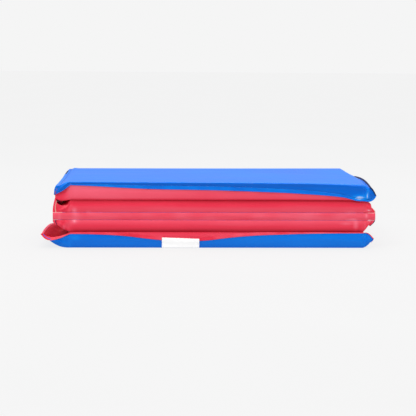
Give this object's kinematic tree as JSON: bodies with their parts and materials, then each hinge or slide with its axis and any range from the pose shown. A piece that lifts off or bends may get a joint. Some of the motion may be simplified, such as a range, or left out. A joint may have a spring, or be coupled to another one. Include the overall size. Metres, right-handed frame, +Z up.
{
  "type": "folding foam mat",
  "caption": "Folding foam exercise mat in a two-colour welded vinyl cover, folded in a zigzag stack, with a blank side label.",
  "frame": {"origin": "middle of the lowest panel's underside, where the folded mat rests", "axes": "+X along the folds, -Y towards the free ends (the front), +Z up through the stack"},
  "size_m": [0.511, 0.2752, 0.1004],
  "materials": {
    "blue_vinyl": "satin",
    "red_vinyl": "satin",
    "foam_slab": "matte",
    "label_tape": "matte"
  },
  "bodies": {
    "panel_3": {"panel_3_foam": "foam_slab", "panel_3_blue_cover": "blue_vinyl", "panel_3_red_cover": "red_vinyl", "panel_3_left_seam": "blue_vinyl", "panel_3_right_seam": "blue_vinyl"},
    "panel_4": {"panel_4_foam": "foam_slab", "panel_4_blue_cover": "blue_vinyl", "panel_4_red_cover": "red_vinyl", "panel_4_left_seam": "red_vinyl", "panel_4_right_seam": "red_vinyl", "panel_4_end_seam": "red_vinyl", "label": "label_tape"},
    "panel_2": {"panel_2_foam": "foam_slab", "panel_2_blue_cover": "blue_vinyl", "panel_2_red_cover": "red_vinyl", "panel_2_left_seam": "red_vinyl", "panel_2_right_seam": "red_vinyl"},
    "panel_1": {"panel_1_foam": "foam_slab", "panel_1_blue_cover": "blue_vinyl", "panel_1_red_cover": "red_vinyl", "panel_1_left_seam": "blue_vinyl", "panel_1_right_seam": "blue_vinyl", "panel_1_end_seam": "blue_vinyl"},
    "fold_34": {"fold_34_blue_band": "blue_vinyl", "fold_34_red_band": "red_vinyl"},
    "fold_23": {"fold_23_blue_band": "blue_vinyl", "fold_23_red_band": "red_vinyl"},
    "fold_12": {"fold_12_blue_band": "blue_vinyl", "fold_12_red_band": "red_vinyl"}
  },
  "joints": [
    {"name": "open_34", "type": "hinge", "parent": "panel_3", "child": "fold_34", "pos_m": [0, 0.1372, 0.031], "axis": [1, 0, 0], "range_deg": [0, 90]},
    {"name": "open_34_outer", "type": "hinge", "parent": "fold_34", "child": "panel_4", "pos_m": [0, 0.1372, 0.019], "axis": [1, 0, 0], "range_deg": [0, 90]},
    {"name": "open_23", "type": "hinge", "parent": "panel_3", "child": "fold_23", "pos_m": [0, -0.1372, 0.0442], "axis": [1, 0, 0], "range_deg": [0, 90]},
    {"name": "open_23_outer", "type": "hinge", "parent": "fold_23", "child": "panel_2", "pos_m": [0, -0.1372, 0.0562], "axis": [1, 0, 0], "range_deg": [0, 90]},
    {"name": "open_12", "type": "hinge", "parent": "panel_2", "child": "fold_12", "pos_m": [0, 0.1372, 0.0694], "axis": [-1, 0, 0], "range_deg": [0, 90]},
    {"name": "open_12_outer", "type": "hinge", "parent": "fold_12", "child": "panel_1", "pos_m": [0, 0.1372, 0.0814], "axis": [-1, 0, 0], "range_deg": [0, 90]}
  ],
  "couplings": [
    {"joint": "open_12_outer", "follows": "open_12", "ratio": 1},
    {"joint": "open_23_outer", "follows": "open_23", "ratio": 1},
    {"joint": "open_34_outer", "follows": "open_34", "ratio": 1}
  ]
}
